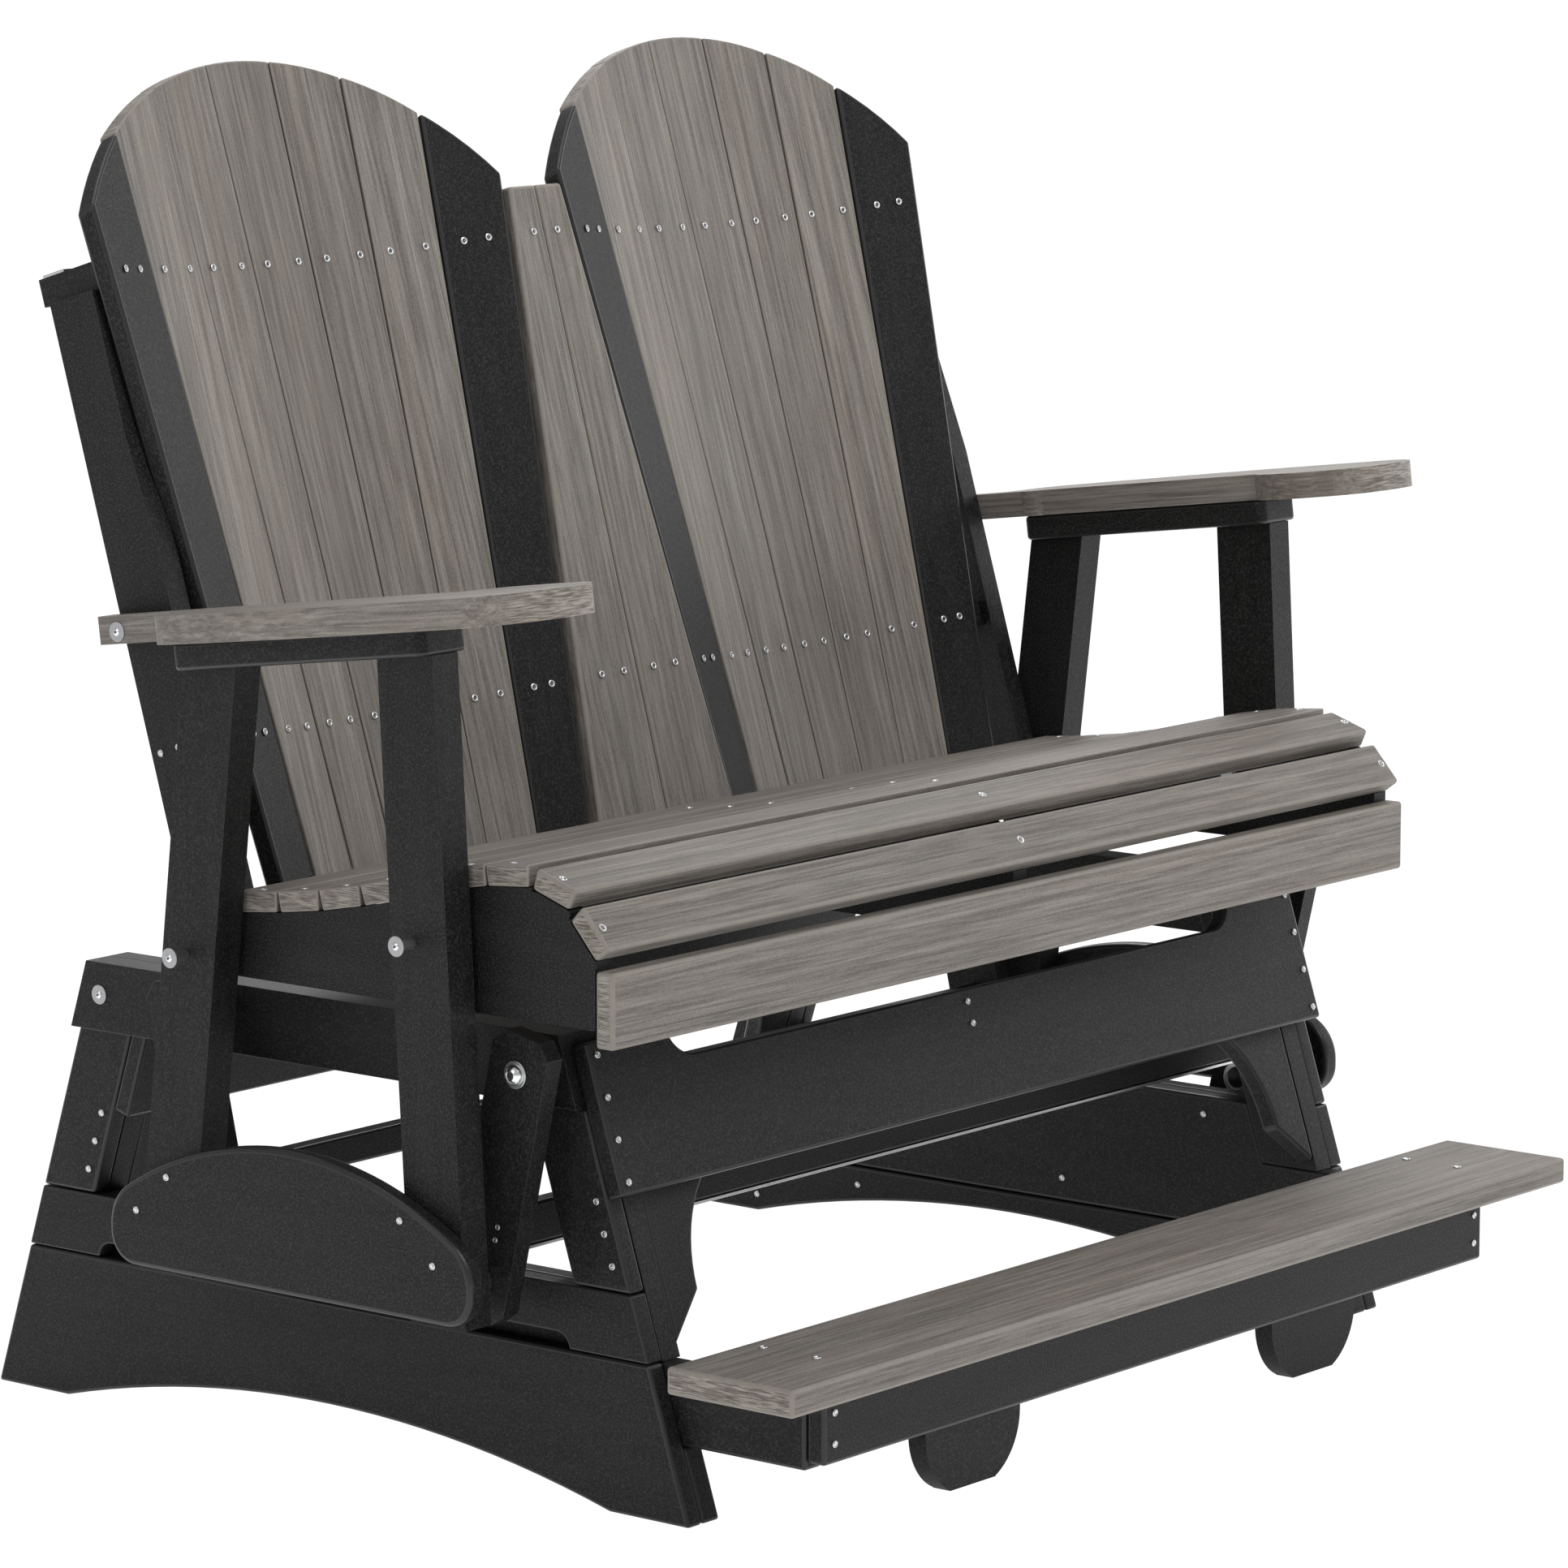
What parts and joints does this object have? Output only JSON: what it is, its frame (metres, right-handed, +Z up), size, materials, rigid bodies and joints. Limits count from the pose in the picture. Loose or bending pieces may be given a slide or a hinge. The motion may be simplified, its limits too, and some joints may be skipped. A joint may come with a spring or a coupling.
{
  "type": "glider swing",
  "caption": "Balcony-height double glider bench with fan backs, arms and footrest, whose seat swings on four hangers over a fixed lumber base.",
  "frame": {"origin": "on the floor, under the middle of the whole bench with its footrest", "axes": "+X along the bench, the front with the footrest faces -Y, +Z up"},
  "size_m": [1.416, 1.033, 1.2539],
  "materials": {
    "grey_lumber": "satin, fine wood-like grain along each board",
    "black_lumber": "satin, fine speckled grain, eased edges",
    "stainless": "brushed",
    "chromed": "bright"
  },
  "bodies": {
    "base": {"skirt_left": "black_lumber", "skirt_right": "black_lumber", "mid_board_left": "black_lumber", "mid_board_right": "black_lumber", "leg_caps_left": "black_lumber", "leg_caps_right": "black_lumber", "top_rail_left": "black_lumber", "top_rail_right": "black_lumber", "side_panel_left": "black_lumber", "side_panel_right": "black_lumber", "inner_skirt_left": "black_lumber", "inner_skirt_right": "black_lumber", "inner_legs_left": "black_lumber", "inner_legs_right": "black_lumber", "front_beam": "black_lumber", "rear_beam": "black_lumber", "gusset_left": "black_lumber", "gusset_right": "black_lumber", "footrest_fascia": "black_lumber", "footrest_board": "grey_lumber", "footrest_stringer": "black_lumber", "footrest_feet": "black_lumber", "base_screws": "stainless", "top_pivot_bolts": "chromed"},
    "front_swing": {"hanger_front_left": "black_lumber", "hanger_front_right": "black_lumber", "front_stretcher": "black_lumber", "front_stretcher_strip": "stainless"},
    "rear_swing": {"hanger_rear_left": "black_lumber", "hanger_rear_right": "black_lumber", "rear_stretcher": "black_lumber"},
    "seat": {"seat_rail_left": "black_lumber", "seat_rail_right": "black_lumber", "seat_rail_centre": "black_lumber", "seat_slats": "grey_lumber", "roll_slats": "grey_lumber", "apron": "grey_lumber", "post_front_left": "black_lumber", "post_front_right": "black_lumber", "post_rear_left": "black_lumber", "post_rear_right": "black_lumber", "half_moon_left": "black_lumber", "half_moon_right": "black_lumber", "arm_support_left": "black_lumber", "arm_support_right": "black_lumber", "arm_left": "grey_lumber", "arm_right": "grey_lumber", "upright_left": "black_lumber", "upright_centre": "black_lumber", "upright_right": "black_lumber", "upper_cross_rail": "black_lumber", "lower_cross_rail": "black_lumber", "cross_rail_strips": "stainless", "back_slats_left": "grey_lumber", "back_slats_right": "grey_lumber", "back_edge_slats": "black_lumber", "back_fillers": "grey_lumber", "seat_screws": "stainless", "seat_bolts": "stainless", "bottom_pivot_bolts": "chromed"}
  },
  "joints": [
    {"name": "front_hangers", "type": "hinge", "parent": "base", "child": "front_swing", "pos_m": [0, -0.191, 0.396], "axis": [1, 0, 0], "range_deg": [-7, 11]},
    {"name": "rear_hangers", "type": "hinge", "parent": "base", "child": "rear_swing", "pos_m": [0, 0.224, 0.396], "axis": [1, 0, 0], "range_deg": [-6.9, 10.8]},
    {"name": "seat_pivot", "type": "hinge", "parent": "front_swing", "child": "seat", "pos_m": [0, -0.14747, 0.20438], "axis": [1, 0, 0], "range_deg": [-14, 8.9]}
  ],
  "couplings": [
    {"joint": "seat_pivot", "follows": "front_hangers", "ratio": -1.266},
    {"joint": "rear_hangers", "follows": "front_hangers", "ratio": 0.97}
  ]
}
